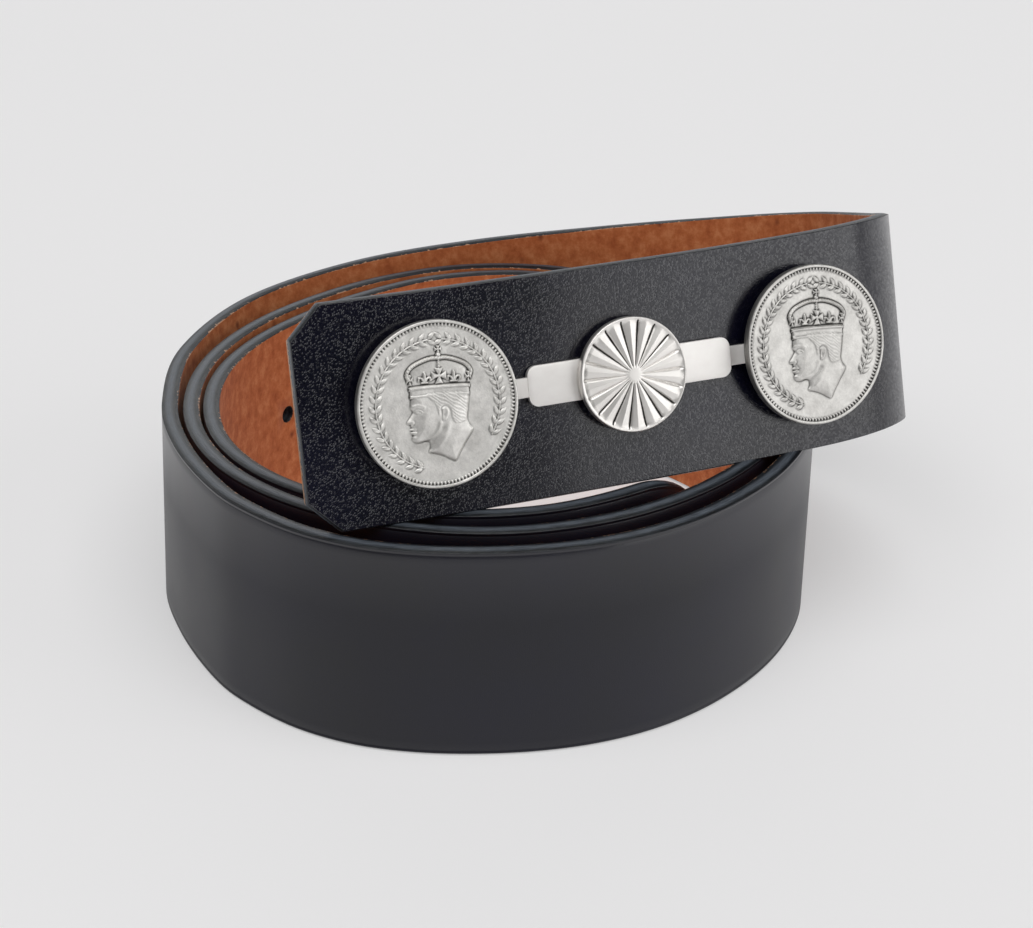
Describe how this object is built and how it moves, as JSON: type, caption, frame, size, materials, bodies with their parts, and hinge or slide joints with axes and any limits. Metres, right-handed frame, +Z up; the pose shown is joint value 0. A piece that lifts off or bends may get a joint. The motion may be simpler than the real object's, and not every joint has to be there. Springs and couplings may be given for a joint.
{
  "type": "coin belt",
  "caption": "Black leather belt wound in a standing coil, its front strip carrying two silver coins, a fluted medallion and the bar that links them.",
  "frame": {"origin": "under the middle of the bounding box, on the surface that the belt stands on", "axes": "+Z up across the strap's width, -Y toward the front strip with the coins, +X toward the folded loop"},
  "size_m": [0.1406, 0.1386, 0.0746],
  "materials": {
    "black_leather": "semi-matt fine grain, brown flesh side",
    "worn_silver": "satin, dark in the recesses",
    "polished_silver": "polished",
    "dark_metal": "blackened"
  },
  "bodies": {
    "root": {"strap": "black_leather", "coin_left": "worn_silver", "coin_right": "worn_silver", "seat_left": "dark_metal", "seat_right": "dark_metal", "link_bar": "polished_silver", "medallion": "polished_silver"}
  },
  "joints": []
}
